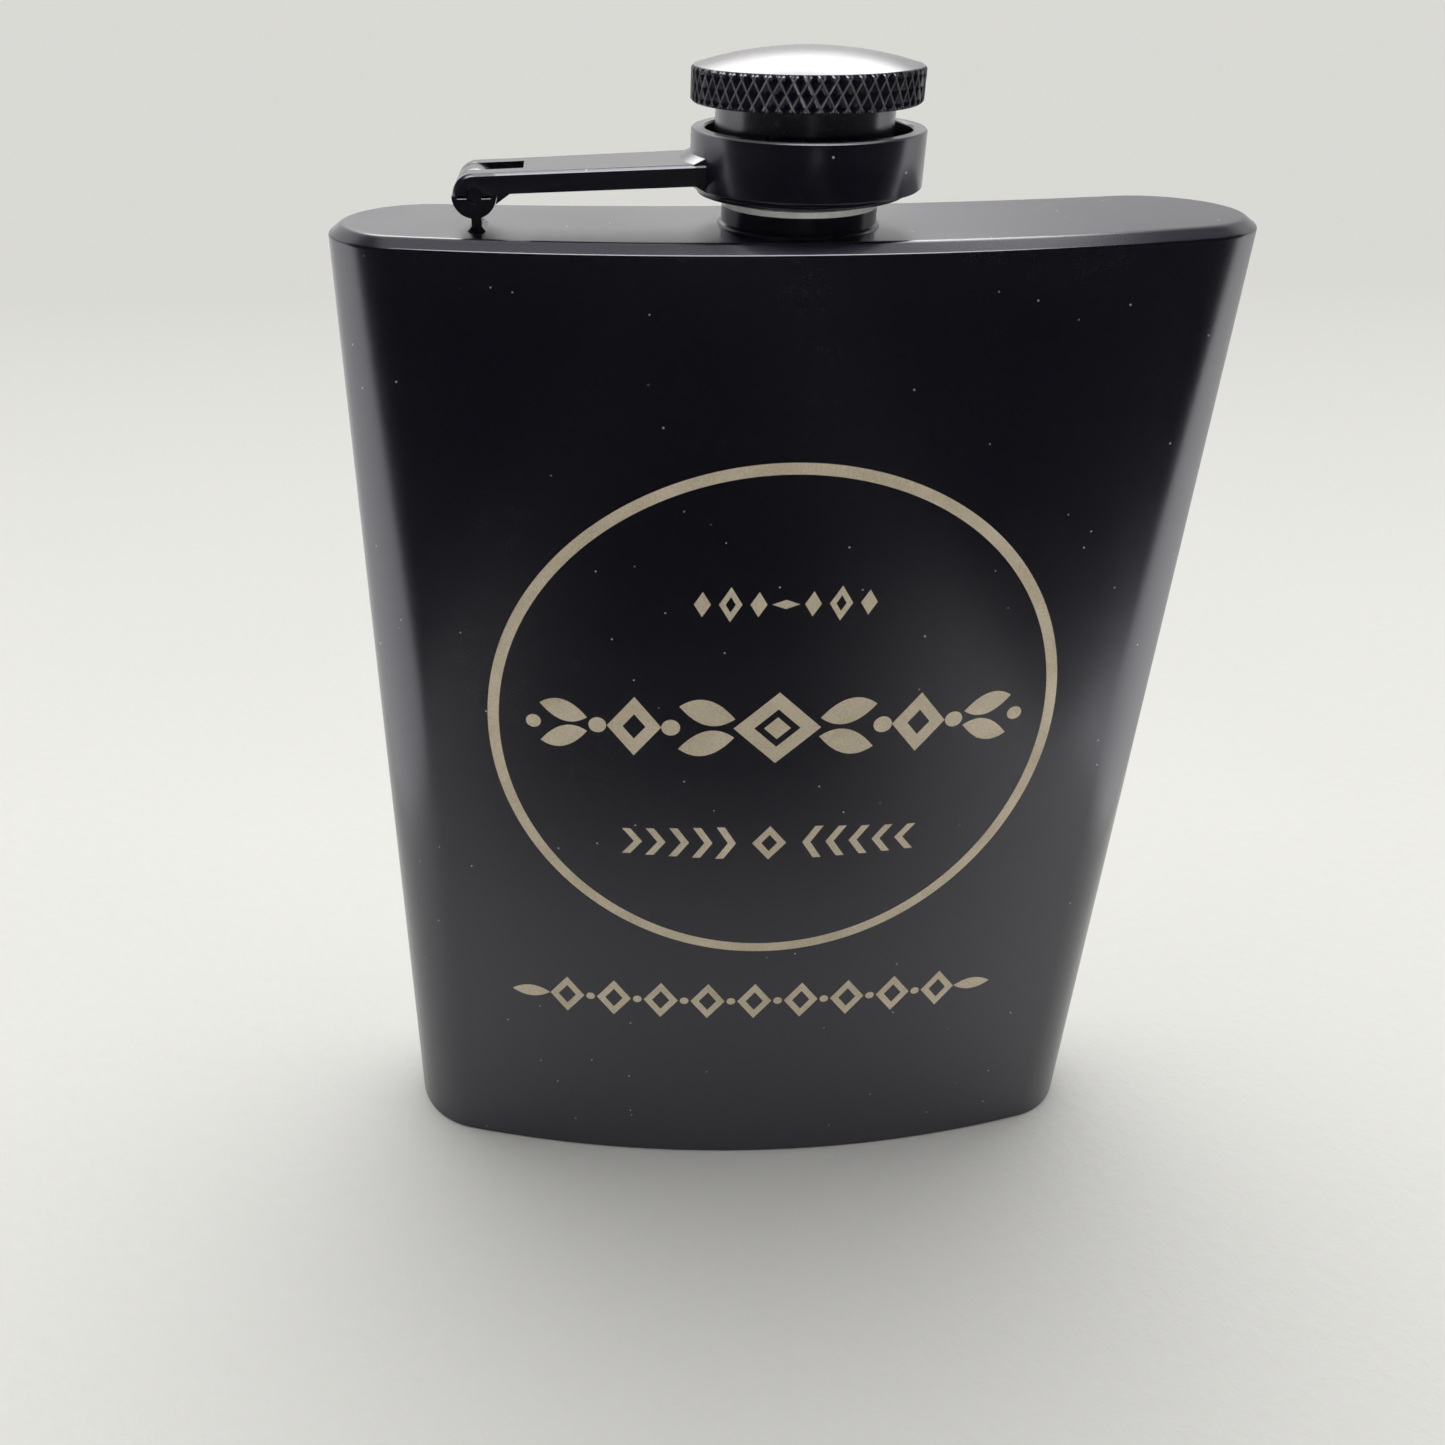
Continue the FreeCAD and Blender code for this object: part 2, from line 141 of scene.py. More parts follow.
def fillet(points, closed, steps):
    """Rounds the corners of a list of (u, v, radius) points."""
    made = []
    count = len(points)
    for i, (u, v, radius) in enumerate(points):
        at_end = not closed and i in (0, count - 1)
        if radius <= 0 or at_end:
            made.append((u, v))
            continue
        corner = Vector((u, v))
        before = Vector(points[i - 1][:2]) - corner
        after = Vector(points[(i + 1) % count][:2]) - corner
        half = before.angle(after) / 2
        if half > math.pi / 2 - STRAIGHT:
            made.append((u, v))
            continue
        reach = radius / math.tan(half)
        start = corner + before.normalized() * reach
        end = corner + after.normalized() * reach
        centre = corner + (before.normalized() + after.normalized()).normalized() * radius / math.sin(half)
        a, b = start - centre, end - centre
        turn = a.angle_signed(b)
        for k in range(steps + 1):
            spot = centre + Matrix.Rotation(-turn * k / steps, 2) @ a
            made.append((spot.x, spot.y))
    return made


def place(name, data):
    """Puts a new object into the scene."""
    made = bpy.data.objects.new(name, data)
    bpy.context.scene.collection.objects.link(made)
    return made


def make_piece(name, points, faces, body, material, stands_for, sharp=35.0):
    """A smooth-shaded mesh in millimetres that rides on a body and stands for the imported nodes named."""
    mesh = bpy.data.meshes.new(name)
    mesh.from_pydata([tuple(c * MM for c in p) for p in points], [], faces)
    shape = bmesh.new()
    shape.from_mesh(mesh)
    bmesh.ops.remove_doubles(shape, verts=shape.verts, dist=1e-7)
    bmesh.ops.dissolve_degenerate(shape, edges=shape.edges, dist=1e-8)
    bmesh.ops.recalc_face_normals(shape, faces=shape.faces)
    shape.to_mesh(mesh)
    shape.free()
    for polygon in mesh.polygons:
        polygon.use_smooth = True
    mesh.set_sharp_from_angle(angle=math.radians(sharp))
    mesh.materials.append(material)
    piece = place(name, mesh)
    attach(piece, body)
    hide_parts(*stands_for)
    return piece


def loops_to_faces(rows, count, wrap_rows, wrap_ring=True):
    """Quads between rows of count points each, closed from row to row and round each row as asked."""
    faces = []
    last = rows if wrap_rows else rows - 1
    ring = count if wrap_ring else count - 1
    for r in range(last):
        here = r * count
        above = ((r + 1) % rows) * count
        for i in range(ring):
            j = (i + 1) % count
            faces.append((here + i, here + j, above + j, above + i))
    return faces


def turned(name, profile, body, material, stands_for):
    """Revolves a closed profile of (radius, z) points round the neck's axis."""
    steps = 160
    points = []
    for radius, z in profile:
        for i in range(steps):
            angle = 2 * math.pi * i / steps
            points.append((radius * math.cos(angle), radius * math.sin(angle), z))
    faces = loops_to_faces(len(profile), steps, True)
    return make_piece(name, points, faces, body, material, stands_for)


# ---- materials ----

class Tree:
    """Short way to add nodes to a tree."""

    def __init__(self, tree):
        self.tree = tree

    def add(self, kind, **values):
        node = self.tree.nodes.new(kind)
        for key, value in values.items():
            setattr(node, key, value)
        return node

    def link(self, a, b):
        self.tree.links.new(a, b)

    def fill(self, socket, value):
        """Links the value if it is another node's output, and otherwise sets it."""
        if isinstance(value, bpy.types.NodeSocket):
            self.link(value, socket)
        else:
            socket.default_value = value

    def maths(self, operation, a, b=0.0):
        node = self.add("ShaderNodeMath", operation=operation)
        self.fill(node.inputs[0], a)
        self.fill(node.inputs[1], b)
        return node.outputs["Value"]

    def map_range(self, value, low, high, to_low, to_high, kind):
        node = self.add("ShaderNodeMapRange", interpolation_type=kind)
        for key, number in (("From Min", low), ("From Max", high), ("To Min", to_low), ("To Max", to_high)):
            node.inputs[key].default_value = number
        self.link(value, node.inputs["Value"])
        return node.outputs["Result"]

    def ramp(self, value, low, high, to_low, to_high):
        """Goes smoothly from to_low at low to to_high at high."""
        return self.map_range(value, low, high, to_low, to_high, "SMOOTHSTEP")

    def spread(self, value, to_low, to_high, low=0.3, high=0.7):
        """Goes straight from to_low to to_high. Most of a noise lies between 0.3 and 0.7."""
        return self.map_range(value, low, high, to_low, to_high, "LINEAR")


class Nodes(Tree):
    """The tree of a new material, with its shader and the place on the object."""

    def __init__(self, name):
        self.material = bpy.data.materials.new(name)
        self.material.use_nodes = True
        super().__init__(self.material.node_tree)
        self.shader = self.tree.nodes["Principled BSDF"]
        self.where = self.add("ShaderNodeTexCoord").outputs["Object"]

    def set(self, name, value):
        self.fill(self.shader.inputs[name], value)

    def noise(self, size_mm, detail=3.0, roughness=0.55):
        node = self.add("ShaderNodeTexNoise")
        node.inputs["Scale"].default_value = 1 / (size_mm * MM)
        node.inputs["Detail"].default_value = detail
        node.inputs["Roughness"].default_value = roughness
        self.link(self.where, node.inputs["Vector"])
        return node.outputs["Fac"]

    def mix(self, factor, a, b):
        node = self.add("ShaderNodeMix", data_type="RGBA")
        self.fill(node.inputs[0], factor)
        self.fill(node.inputs[6], a)
        self.fill(node.inputs[7], b)
        return node.outputs[2]

    def bump(self, height, depth_mm):
        node = self.add("ShaderNodeBump")
        node.inputs["Strength"].default_value = 1.0
        node.inputs["Distance"].default_value = depth_mm * MM
        self.link(height, node.inputs["Height"])
        return node.outputs["Normal"]


def dust(nodes, cell_mm, size, share):
    """Sparse tiny round specks, 1 on a speck and 0 elsewhere. size is their radius as a share of a cell."""
    cells = nodes.add("ShaderNodeTexVoronoi", feature="F1")
    cells.inputs["Scale"].default_value = 1 / (cell_mm * MM)
    nodes.link(nodes.where, cells.inputs["Vector"])
    near = nodes.maths("LESS_THAN", cells.outputs["Distance"], size)
    pick = nodes.add("ShaderNodeSeparateColor")
    nodes.link(cells.outputs["Color"], pick.inputs["Color"])
    chosen = nodes.maths("LESS_THAN", pick.outputs["Red"], share)
    return nodes.maths("MULTIPLY", near, chosen)


WORN = (0.05, 0.05, 0.052, 1)           # coat rubbed thin on an edge
CREST_WEAR_AND_HIGHLIGHT = (0.23, 0.23, 0.235, 1)         # on the knurl's crests: partly rubbed wear, partly a painted highlight on the ridges
SPECK = (0.55, 0.55, 0.58, 1)
THREAD_STEEL = (0.58, 0.57, 0.55, 1)
THREAD_ABOVE_RIM = 0.95                 # the thread starts this far above the rim, where the bare band with its painted highlight begins
COAT_IOR = 1.75
COAT_TINT = (0.94, 0.92, 1.0, 1.0)      # the coat's gloss is faintly violet


def coat_material(name, colour, rough, grain_depth, wear=0.5, bare_and_highlight_from=None, crests=None):
    """Satin black coat: fine grain, slightly uneven gloss, faint handling marks, edges rubbed a little paler.
    Above the height that starts the bare band it is bare metal: first a near-white band that is partly a
    painted highlight, then steel for the thread. crests is (radius where the crests' wear and painted
    highlight start, where they are full)."""
    nodes = Nodes(name)
    smudge = nodes.noise(22, 4.0, 0.6)
    fine = nodes.noise(0.16, 2.0, 0.6)
    mid = nodes.noise(0.9, 3.0, 0.5)
    base = nodes.mix(nodes.spread(mid, 0.0, 1.0), tuple(c * 0.85 for c in colour) + (1,),
                     tuple(min(1, c * 1.2) for c in colour) + (1,))
    edge = nodes.spread(nodes.add("ShaderNodeNewGeometry").outputs["Pointiness"], 0.0, wear, 0.53, 0.62)
    coat_colour = nodes.mix(nodes.maths("MULTIPLY", edge, nodes.spread(nodes.noise(0.6), 0.2, 1.0)), base, WORN)
    speck = dust(nodes, cell_mm=2.4, size=0.045, share=0.6)
    split = nodes.add("ShaderNodeSeparateXYZ")
    nodes.link(nodes.where, split.inputs[0])
    if bare_and_highlight_from:
        # bare band on the neck rim, coloured near-white and not metallic: partly real bare steel, partly a
        # painted highlight under the cap's ring
        bare_band_and_highlight = nodes.maths("GREATER_THAN", split.outputs["Z"], bare_and_highlight_from * MM)
        bare_steel_and_highlight = nodes.mix(nodes.spread(mid, 0, 1), (0.80, 0.79, 0.77, 1), (0.92, 0.91, 0.89, 1))
        coat_colour = nodes.mix(bare_band_and_highlight, coat_colour, bare_steel_and_highlight)
        thread = nodes.maths("GREATER_THAN", split.outputs["Z"], (bare_and_highlight_from + THREAD_ABOVE_RIM) * MM)
        coat_colour = nodes.mix(thread, coat_colour, THREAD_STEEL)
        nodes.set("Metallic", nodes.maths("MULTIPLY", thread, 0.95))
    # crest colour: partly wear rubbed through the coat, partly a painted highlight on the knurl's ridges
    if crests:
        squares = [nodes.maths("MULTIPLY", split.outputs[axis], split.outputs[axis]) for axis in ("X", "Y")]
        reach = nodes.maths("SQRT", nodes.maths("ADD", *squares))
        crest = nodes.spread(reach, 0.0, 1.0, crests[0] * MM, crests[1] * MM)
        crest_wear_and_highlight_mask = nodes.maths("MULTIPLY", crest, nodes.spread(nodes.noise(0.8), 0.45, 1.0))
        coat_colour = nodes.mix(crest_wear_and_highlight_mask, coat_colour, CREST_WEAR_AND_HIGHLIGHT)
    nodes.set("Base Color", nodes.mix(speck, coat_colour, SPECK))
    uneven = nodes.maths("ADD", nodes.spread(smudge, -0.03, 0.035), nodes.spread(fine, -0.02, 0.02))
    nodes.set("Roughness", nodes.maths("ADD", uneven, rough))
    nodes.set("IOR", COAT_IOR)
    nodes.set("Normal", nodes.bump(fine, grain_depth))
    nodes.set("Specular Tint", COAT_TINT)
    return nodes.material


def engraved_material(name):
    """Steel bared by the laser: matt and pale gold, with the fine lines of the scan."""
    nodes = Nodes(name)
    lines = nodes.add("ShaderNodeTexWave", bands_direction="Z")
    lines.inputs["Scale"].default_value = 1 / (0.55 * MM)
    lines.inputs["Distortion"].default_value = 0.6
    nodes.link(nodes.where, lines.inputs["Vector"])
    grain = nodes.noise(0.25, 3.0, 0.6)
    patch = nodes.noise(5, 2.0, 0.5)
    shade = nodes.maths("ADD", nodes.maths("MULTIPLY", grain, 0.6), nodes.maths("MULTIPLY", patch, 0.4))
    nodes.set("Base Color", nodes.mix(nodes.spread(shade, 0, 1, 0.35, 0.65), (0.64, 0.55, 0.39, 1),
                                      (0.88, 0.77, 0.60, 1)))
    nodes.set("Metallic", 0.15)
    nodes.set("Roughness", nodes.spread(grain, 0.5, 0.62))
    both = nodes.maths("ADD", nodes.maths("MULTIPLY", lines.outputs["Fac"], 0.5), grain)
    nodes.set("Normal", nodes.bump(both, 0.012))
    return nodes.material


def rubber_material(name):
    """Pale grey-white silicone with a dull, slightly mottled skin."""
    nodes = Nodes(name)
    mottle = nodes.noise(1.2, 4.0, 0.6)
    shade = nodes.mix(nodes.spread(mottle, 0, 1), (0.60, 0.60, 0.58, 1), (0.72, 0.72, 0.69, 1))
    nodes.set("Base Color", shade)
    nodes.set("Roughness", nodes.spread(mottle, 0.5, 0.65))
    nodes.set("Subsurface Weight", 0.1)
    nodes.set("Subsurface Radius", (0.001, 0.001, 0.001))
    nodes.set("Normal", nodes.bump(nodes.noise(0.2), 0.01))
    return nodes.material


BLACK = (0.0058, 0.0056, 0.0135)
DOME_BLACK = (0.010, 0.010, 0.011)
NECK_RIM = 124.05       # the neck is bare steel above this height; its near-white lowest band is partly a painted highlight
body_coat = coat_material("body_coat", BLACK, 0.23, 0.0022)
arm_coat = coat_material("arm_coat", BLACK, 0.21, 0.0026)
cap_coat = coat_material("cap_coat", BLACK, 0.20, 0.0022)
knurl_crests = (HEAD_RADIUS - 0.09, HEAD_RADIUS + 0.005)
knurl_coat = coat_material("knurl_coat", BLACK, 0.17, 0.0015, crests=knurl_crests)
dome_coat = coat_material("dome_coat", DOME_BLACK, 0.26, 0.0034, wear=0.6)
neck_coat = coat_material("neck_coat", BLACK, 0.20, 0.0022, bare_and_highlight_from=NECK_RIM)
weld_coat = coat_material("weld_coat", BLACK, 0.28, 0.0060)
engraved = engraved_material("engraved")
gasket_rubber = rubber_material("gasket_skin")


# ---- the flask body ----

FOOT_ROUND = 0.18       # radius on the sheet's lower outer edge
SEAM_CLEAR = 0.05       # no outline point stands nearer than this to the seam's edge


def body_wrap():
    """The bent sheet: outside, rounded foot, inside, open at the back where the seam closes it."""
    half_seam = seam_high.x
    profile = []
    for share in (1.0, 0.62, 0.29, 0.08, 0.0):
        angle = math.pi / 2 * share
        profile.append((FOOT_ROUND - FOOT_ROUND * math.sin(angle), FOOT_ROUND - FOOT_ROUND * math.cos(angle)))
    profile += [(z, 0.0) for z in (10, 20, 35, 50, 65, 80, 95, 110, bead_low.z)]
    profile += [(bead_low.z, GROOVE), (WALL_TOP, GROOVE), (WALL_TOP, WALL), (60, WALL), (0, WALL)]
    back_middle = sum(ARC_STEPS[:2]) + ARC_STEPS[2] // 2
    points = []
    for z, inset in profile:
        ring = level(z, inset)
        ordered = ring[back_middle:] + ring[:back_middle + 1]
        y_back = ordered[0][1]
        kept = [p for p in ordered if not (abs(p[0]) < half_seam + SEAM_CLEAR and p[1] > 0)]
        points += [(-half_seam, y_back, z)] + kept + [(half_seam, y_back, z)]
    count = len(points) // len(profile)
    faces = loops_to_faces(len(profile), count, True, False)
    for end in (0, count - 1):
        faces.append(tuple(r * count + end for r in range(len(profile))))
    make_piece("wrap_shell", points, faces, "flask", body_coat, ["body_wrap"])


ROUND_LOW = 0.42    # radius on the lower edge of the shoulder's bevel
ROUND_HIGH = 0.95   # and on its upper edge, where the plate rolls over gently
PLATE_RIM = 2.10    # the rounded rim ends this far in, and the flat top starts
BEAD_EDGE = 0.14    # the bead meets the plate this far in


def shoulder_profile():
    """(inset, z) from the wall over the bevel to the top, both edges rounded."""
    return fillet([
        (0.0, bead_low.z, 0),
        (0.0, WALL_TOP, ROUND_LOW),
        (BEVEL_WIDTH, SHOULDER_TOP, ROUND_HIGH),
        (PLATE_RIM, SHOULDER_TOP, 0),
    ], False, 8)


def shoulder_bead():
    """The bead in the step at the top of the wall, ground round."""
    profile = [(inset, z) for inset, z in shoulder_profile() if z < WALL_TOP]
    profile += [(BEAD_EDGE, WALL_TOP), (GROOVE, WALL_TOP), (GROOVE, bead_low.z)]
    points = [p for inset, z in profile for p in level(z, inset)]
    faces = loops_to_faces(len(profile), sum(ARC_STEPS), True)
    make_piece("shoulder_bead", points, faces, "flask", body_coat, ["shoulder_weld"])


def shoulder_top():
    """Top plate: rounded bevel, flat top, hole for the neck."""
    profile = [(BEAD_EDGE, WALL_TOP)] + [(inset, z) for inset, z in shoulder_profile() if z > WALL_TOP]
    rows = [level(z, inset) for inset, z in profile]
    rim = rows[-1]
    circle = []
    for x, y, z in rim:
        reach = math.hypot(x, y)
        circle.append((x * NECK_HOLE / reach, y * NECK_HOLE / reach, z))
    between = []
    for share in (0.25, 0.5, 0.75):
        between.append([tuple(a + (b - a) * share for a, b in zip(p, q)) for p, q in zip(rim, circle)])
    rows += between + [circle, [(x, y, WALL_TOP) for x, y, z in circle]]
    points = [p for row in rows for p in row]
    faces = loops_to_faces(len(rows), len(rim), True)
    make_piece("shoulder_top", points, faces, "flask", body_coat, ["shoulder_plate"], sharp=50)


# ---- the engraved ornament ----

FRONT_MIDDLE = FRONT_RADIUS - THICKNESS / 2
PROUD = 0.012       # the bared steel shows this far above the coat's skin
SUNK = 0.05         # and its underside lies this far below it
OFF_CORNER = 0.0007 # moves each cut off the corners of a mark
STRIP = 1.0         # a mark is cut into strips no wider than this, so that it bends with the front


def engraved_shape(name, outer, inner=None):
    """One engraved mark from its outline in (x, z), laid on the convex front, with an optional hole."""
    mesh = bpy.data.meshes.new(name)
    shape = bmesh.new()
    front = [shape.verts.new((x, 0, z)) for x, z in outer]
    if inner:
        ring = [shape.verts.new((x, 0, z)) for x, z in inner]
        count = len(front)
        for i in range(count):
            j = (i + 1) % count
            shape.faces.new((front[i], front[j], ring[j], ring[i]))
    else:
        shape.faces.new(front)
    low = min(x for x, z in outer)
    high = max(x for x, z in outer)
    cuts = max(1, math.ceil((high - low) / STRIP))
    for k in range(1, cuts):
        where = low + (high - low) * k / cuts + OFF_CORNER
        everything = list(shape.verts) + list(shape.edges) + list(shape.faces)
        bmesh.ops.bisect_plane(shape, geom=everything, plane_co=(where, 0, 0), plane_no=(1, 0, 0), dist=1e-5)
    made = bmesh.ops.extrude_face_region(shape, geom=list(shape.faces))
    moved = {v for v in made["geom"] if isinstance(v, bmesh.types.BMVert)}
    for vert in shape.verts:
        x, _, z = vert.co
        skin = FRONT_MIDDLE - math.sqrt(FRONT_RADIUS ** 2 - x * x)
        depth = SUNK if vert in moved else -PROUD
        vert.co = Vector((x, skin + depth, z)) * MM
    bmesh.ops.triangulate(shape, faces=shape.faces)
    bmesh.ops.recalc_face_normals(shape, faces=shape.faces)
    shape.to_mesh(mesh)
    shape.free()
    mesh.materials.append(engraved)
    return mesh


def join_marks(name, meshes):
    """Joins several engraved marks into one piece."""
    whole = bmesh.new()
    for mesh in meshes:
        whole.from_mesh(mesh)
        bpy.data.meshes.remove(mesh)
    joined = bpy.data.meshes.new(name)
    whole.to_mesh(joined)
    whole.free()
    joined.materials.append(engraved)
    piece = place(name, joined)
    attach(piece, "flask")


def ellipse(cx, cz, rx, rz, steps):
    return [(cx + rx * math.cos(2 * math.pi * i / steps), cz + rz * math.sin(2 * math.pi * i / steps))
            for i in range(steps)]


def lozenge(cx, cz, rx, rz):
    return [(cx - rx, cz), (cx, cz - rz), (cx + rx, cz), (cx, cz + rz)]


def leaf(cx, cz, half_length, half_height, lean=0.0):
    """Pointed oval lying along x. lean lifts one tip and drops the other."""
    points = []
    steps = 12
    for i in range(2 * steps):
        share = i / steps
        along = -1 + 2 * share if share <= 1 else 3 - 2 * share
        swell = (1 - along * along) * (-1 if share <= 1 else 1)
        points.append((cx + along * half_length, cz + swell * half_height + lean * along))
    return points


def chevron(cx, cz, width, half_height, thick, side):
    """An angle bracket whose tip points to +x (side 1) or -x (side -1)."""
    tip = side * width / 2
    return [
        (cx + tip, cz),
        (cx - tip, cz + half_height),
        (cx - tip - side * thick, cz + half_height),
        (cx + tip - side * thick, cz),
        (cx - tip - side * thick, cz - half_height),
        (cx - tip, cz - half_height),
    ]


RING_X, RING_Z, RING_RADIUS, RING_LINE = -0.57, 68.2, 32.36, 1.28
SMALL_ROW_X = -0.4      # middle of the three rows inside the ring
UPPER_Z, MIDDLE_Z, LOWER_Z = 84.4, 68.7, 52.6
BORDER_X, BORDER_Z = -0.85, 27.5


def hollow(cx, cz, size, hole):
    """A lozenge with a lozenge hole. Both sizes are (half width, half height)."""
    return engraved_shape("mark", lozenge(cx, cz, *size), lozenge(cx, cz, *hole))


def dot(cx, cz, radius, steps=24):
    return engraved_shape("mark", ellipse(cx, cz, radius, radius, steps))


def upper_row():
    """Lozenges either side of a short bar."""
    marks = []
    for side in (-1, 1):
        for step, scale in ((2.9, 0.72), (5.9, 1.0), (8.9, 0.72)):
            outer = lozenge(SMALL_ROW_X + side * step, UPPER_Z, 1.25 * scale, 2.1 * scale)
            inner = lozenge(SMALL_ROW_X + side * step, UPPER_Z, 0.55 * scale, 0.95 * scale)
            marks.append(engraved_shape("mark", outer, inner if scale == 1.0 else None))
    marks.append(engraved_shape("mark", lozenge(SMALL_ROW_X, UPPER_Z, 1.5, 0.55)))
    join_marks("engraved_row_upper", marks)


def middle_row():
    """A middle rosette, then pairs of leaves, lozenges and dots that shrink outwards."""
    marks = [
        hollow(SMALL_ROW_X, MIDDLE_Z, (4.9, 4.7), (2.6, 2.5)),
        engraved_shape("mark", lozenge(SMALL_ROW_X, MIDDLE_Z, 1.5, 1.45)),
    ]
    kinds = (
        (7.9, "leaves", 3.9), (11.9, "dot", 1.05), (16.0, "lozenge", 3.9),
        (20.1, "dot", 1.0), (23.9, "leaves", 3.3), (27.3, "dot", 0.85))
    for side in (-1, 1):
        for offset, kind, size in kinds:
            spot = SMALL_ROW_X + side * offset
            if kind == "dot":
                marks.append(dot(spot, MIDDLE_Z, size))
            elif kind == "lozenge":
                marks.append(hollow(spot, MIDDLE_Z, (size * 0.78, size), (size * 0.33, size * 0.42)))
            else:
                for up in (-1, 1):
                    shape = leaf(spot, MIDDLE_Z + up * size * 0.52, size * 0.80, size * 0.42, up * side * 0.8)
                    marks.append(engraved_shape("mark", shape))
    join_marks("engraved_row_middle", marks)


def lower_row():
    """Chevrons that point at a middle lozenge."""
    marks = [hollow(SMALL_ROW_X, LOWER_Z, (2.0, 2.45), (0.95, 1.2))]
    for side in (-1, 1):
        for k in range(5):
            spot = SMALL_ROW_X + side * (4.6 + 2.75 * k)
            marks.append(engraved_shape("mark", chevron(spot, LOWER_Z, 1.4, 2.3 - 0.12 * k, 0.95, -side)))
    join_marks("engraved_row_lower", marks)


def border():
    """Below the ring: alternate hollow lozenges and dots, with a leaf at each end."""
    marks = []
    for k in range(-4, 5):
        spot = BORDER_X + 5.9 * k
        marks.append(hollow(spot, BORDER_Z, (2.15, 2.9), (1.1, 1.5)))
        if k < 4:
            marks.append(dot(spot + 2.95, BORDER_Z, 0.55, 20))
    for side in (-1, 1):
        marks.append(engraved_shape("mark", leaf(BORDER_X + side * 28.2, BORDER_Z, 2.4, 0.9)))
    join_marks("engraved_border", marks)


def ornament():
    outer = ellipse(RING_X, RING_Z, RING_RADIUS, RING_RADIUS, 180)
    inner = ellipse(RING_X, RING_Z, RING_RADIUS - RING_LINE, RING_RADIUS - RING_LINE, 180)
    join_marks("engraved_ring", [engraved_shape("ring", outer, inner)])
    upper_row()
    middle_row()
    lower_row()
    border()


# ---- the cap ----

KNURLS = 56          # ridges each way round the head
KNURL_DEPTH = 0.46
KNURL_FLAT = 0.06    # share of the depth that the ridges are worn down by
KNURL_STEPS = 8      # grid columns from one ridge to the next
KNURL_LEAN = math.radians(30)    # of the ridges from the head's axis
HEAD_CHAMFER = 0.25  # on both ends of the knurled band
DOME_RISE = 1.6      # the dome stands this far above the knurled band
LEVEL_GAP = 0.03     # no grid level lies nearer than this to the band's ends
FLANGE_ROUND = 0.26  # radius on the retaining ring's outer edges


def cap_head():
    """Knurled grip with a shallow dome. Ridges cross round diamond pits, and the grid follows every ridge."""
    rim = HEAD_RADIUS - HEAD_CHAMFER
    rim_top = head_high.z - DOME_RISE
    bottom = head_low.z
    columns = KNURLS * KNURL_STEPS
    pitch_around = 2 * math.pi * HEAD_RADIUS / KNURLS
    pitch_up = pitch_around / math.tan(KNURL_LEAN)
    row_height = pitch_up / KNURL_STEPS
    middle = (bottom + rim_top) / 2
    levels = {bottom, bottom + HEAD_CHAMFER, rim_top - HEAD_CHAMFER, rim_top}
    for k in range(-8, 9):
        z = middle + k * row_height
        if bottom + LEVEL_GAP < z < rim_top - LEVEL_GAP:
            levels.add(z)
    levels = sorted(levels)

    def knurl(column, z):
        across = column / KNURL_STEPS
        up = (z - middle) / pitch_up
        nearest = 0.0
        for phase in (across + up, across - up):
            nearest = max(nearest, abs(2 * (phase - math.floor(phase)) - 1))
        return HEAD_RADIUS - KNURL_DEPTH * max(0.0, 1 - KNURL_FLAT - nearest)

    def chamfer(z):
        return HEAD_RADIUS - max(0.0, HEAD_CHAMFER - min(z - bottom, rim_top - z))

    points, faces = [], []

    def add_ring(z, reach_at):
        """Adds a ring of points, and gives the number of its first one."""
        first = len(points)
        for column in range(columns):
            reach = reach_at(column)
            angle = 2 * math.pi * column / columns
            points.append((reach * math.cos(angle), reach * math.sin(angle), z))
        return first

    def close_ring(first, z, outwards):
        """Fans the ring to one point on the axis."""
        tip = len(points)
        points.append((0, 0, z))
        for i in range(columns):
            j = (i + 1) % columns
            faces.append((first + i, first + j, tip) if outwards else (first + j, first + i, tip))

    # the knurled band, with its diagonals along the ridges
    for z in levels:
        add_ring(z, lambda column: min(knurl(column, z), chamfer(z)))
    for r in range(len(levels) - 1):
        base_row = math.floor((levels[r] - middle) / row_height + 1e-6)
        for i in range(columns):
            j = (i + 1) % columns
            a, b = r * columns + i, r * columns + j
            c, d = (r + 1) * columns + j, (r + 1) * columns + i
            if (i - base_row) % KNURL_STEPS == 0:
                faces += [(a, b, c), (a, c, d)]
            else:
                faces += [(a, b, d), (b, c, d)]

    # the dome above the band
    dome_radius = (rim ** 2 + DOME_RISE ** 2) / (2 * DOME_RISE)
    previous = (len(levels) - 1) * columns
    for share in (0.985, 0.96, 0.9, 0.82, 0.72, 0.6, 0.46, 0.3, 0.15):
        reach = rim * share
        z = head_high.z - dome_radius + math.sqrt(dome_radius ** 2 - reach ** 2)
        start = add_ring(z, lambda column: reach)
        for i in range(columns):
            j = (i + 1) % columns
            faces.append((previous + i, previous + j, start + j, start + i))
        previous = start
    close_ring(previous, head_high.z, True)

    # the hollow underside, which sits on the sleeve
    previous = 0
    for z in (bottom, sleeve_high.z):
        start = add_ring(z, lambda column: SLEEVE_RADIUS)
        for i in range(columns):
            j = (i + 1) % columns
            faces.append((previous + j, previous + i, start + i, start + j))
        previous = start
    close_ring(previous, sleeve_high.z, False)

    piece = make_piece("cap_grip", points, faces, "cap", knurl_coat, ["cap_head"], sharp=16)
    piece.data.materials.append(dome_coat)
    edge = rim_top * MM
    for polygon in piece.data.polygons:
        if all(piece.data.vertices[v].co.z > edge for v in polygon.vertices):
            polygon.material_index = 1


def cap_flange():
    profile = fillet([
        (SLEEVE_RADIUS, flange_low.z, 0),
        (FLANGE_RADIUS, flange_low.z, FLANGE_ROUND),
        (FLANGE_RADIUS, flange_high.z, FLANGE_ROUND),
        (SLEEVE_RADIUS, flange_high.z, 0),
    ], True, 6)
    turned("retaining_ring", profile, "cap", cap_coat, ["cap_retaining_flange"])


